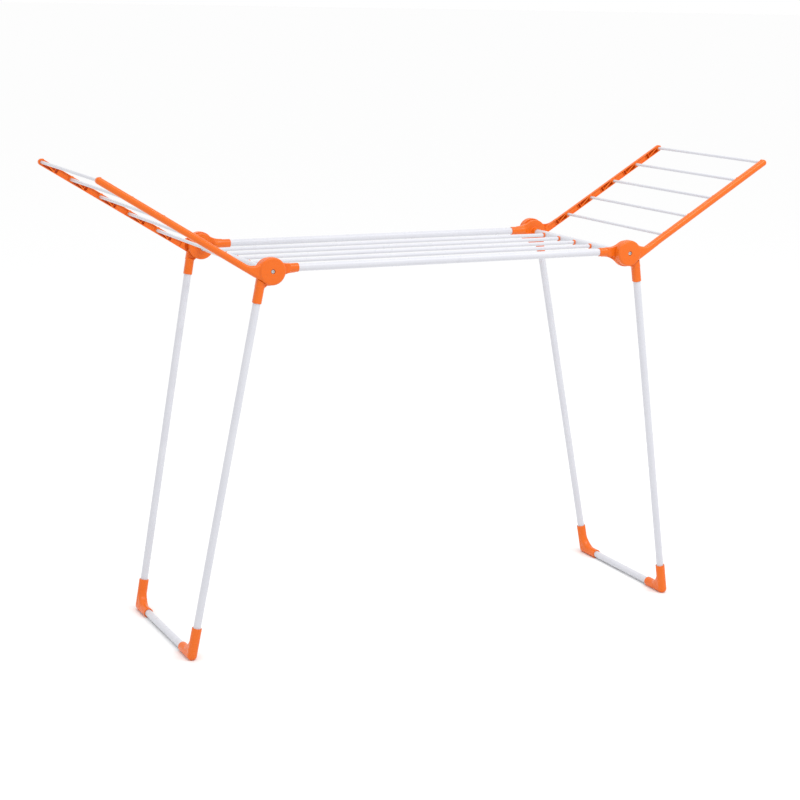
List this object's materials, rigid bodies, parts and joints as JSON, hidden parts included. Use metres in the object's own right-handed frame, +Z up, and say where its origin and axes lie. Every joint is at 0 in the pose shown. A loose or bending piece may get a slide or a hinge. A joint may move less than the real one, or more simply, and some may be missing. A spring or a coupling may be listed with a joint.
{
  "type": "clothes drying rack",
  "caption": "Folding clothes drying rack: a rod table on two folding leg frames, with a folding wing of rods at each end, orange corner fittings and white tubes.",
  "frame": {"origin": "on the floor, under the middle of the rack", "axes": "+X along the rails towards the right-hand wing, +Y from the front to the rear, +Z up"},
  "size_m": [1.7598, 0.514, 1.1422],
  "materials": {
    "orange_plastic": "injection-moulded orange plastic, satin gloss",
    "white_tube": "white powder coat on thin steel tube",
    "zinc_steel": "bright zinc plated"
  },
  "bodies": {
    "table": {"rail_front": "white_tube", "rail_rear": "white_tube", "end_tube_right": "white_tube", "end_tube_left": "white_tube", "table_rod_1": "white_tube", "table_rod_2": "white_tube", "table_rod_3": "white_tube", "table_rod_4": "white_tube", "table_rod_5": "white_tube", "rod_bush_right_1": "orange_plastic", "rod_bush_right_2": "orange_plastic", "rod_bush_right_3": "orange_plastic", "rod_bush_right_4": "orange_plastic", "rod_bush_right_5": "orange_plastic", "rod_bush_left_1": "orange_plastic", "rod_bush_left_2": "orange_plastic", "rod_bush_left_3": "orange_plastic", "rod_bush_left_4": "orange_plastic", "rod_bush_left_5": "orange_plastic", "corner_bracket_front_right": "orange_plastic", "corner_bracket_rear_right": "orange_plastic", "corner_bracket_front_left": "orange_plastic", "corner_bracket_rear_left": "orange_plastic", "pivot_screw_front_right": "zinc_steel", "pivot_screw_rear_right": "zinc_steel", "pivot_screw_front_left": "zinc_steel", "pivot_screw_rear_left": "zinc_steel", "pivot_nut_front_right": "zinc_steel", "pivot_nut_rear_right": "zinc_steel", "pivot_nut_front_left": "zinc_steel", "pivot_nut_rear_left": "zinc_steel"},
    "wing_right": {"wing_arm_front_right": "orange_plastic", "wing_arm_rear_right": "orange_plastic", "wing_rod_right_1": "white_tube", "wing_rod_right_2": "white_tube", "wing_rod_right_3": "white_tube", "wing_rod_right_4": "white_tube", "wing_rod_right_5": "white_tube"},
    "wing_left": {"wing_arm_front_left": "orange_plastic", "wing_arm_rear_left": "orange_plastic", "wing_rod_left_1": "white_tube", "wing_rod_left_2": "white_tube", "wing_rod_left_3": "white_tube", "wing_rod_left_4": "white_tube", "wing_rod_left_5": "white_tube"},
    "legs_right": {"leg_socket_front_right": "orange_plastic", "leg_socket_rear_right": "orange_plastic", "leg_tube_front_right": "white_tube", "leg_tube_rear_right": "white_tube", "foot_elbow_front_right": "orange_plastic", "foot_elbow_rear_right": "orange_plastic", "foot_tube_right": "white_tube"},
    "legs_left": {"leg_socket_front_left": "orange_plastic", "leg_socket_rear_left": "orange_plastic", "leg_tube_front_left": "white_tube", "leg_tube_rear_left": "white_tube", "foot_elbow_front_left": "orange_plastic", "foot_elbow_rear_left": "orange_plastic", "foot_tube_left": "white_tube"}
  },
  "joints": [
    {"name": "wing_right_fold", "type": "hinge", "parent": "table", "child": "wing_right", "pos_m": [0.475, 0, 0.92], "axis": [0, -1, 0], "range_deg": [0, 148.6]},
    {"name": "wing_left_fold", "type": "hinge", "parent": "table", "child": "wing_left", "pos_m": [-0.475, 0, 0.92], "axis": [0, 1, 0], "range_deg": [0, 148.6]},
    {"name": "legs_right_fold", "type": "hinge", "parent": "table", "child": "legs_right", "pos_m": [0.475, 0, 0.92], "axis": [0, 1, 0], "range_deg": [0, 99]},
    {"name": "legs_left_fold", "type": "hinge", "parent": "table", "child": "legs_left", "pos_m": [-0.475, 0, 0.92], "axis": [0, -1, 0], "range_deg": [0, 95]}
  ]
}
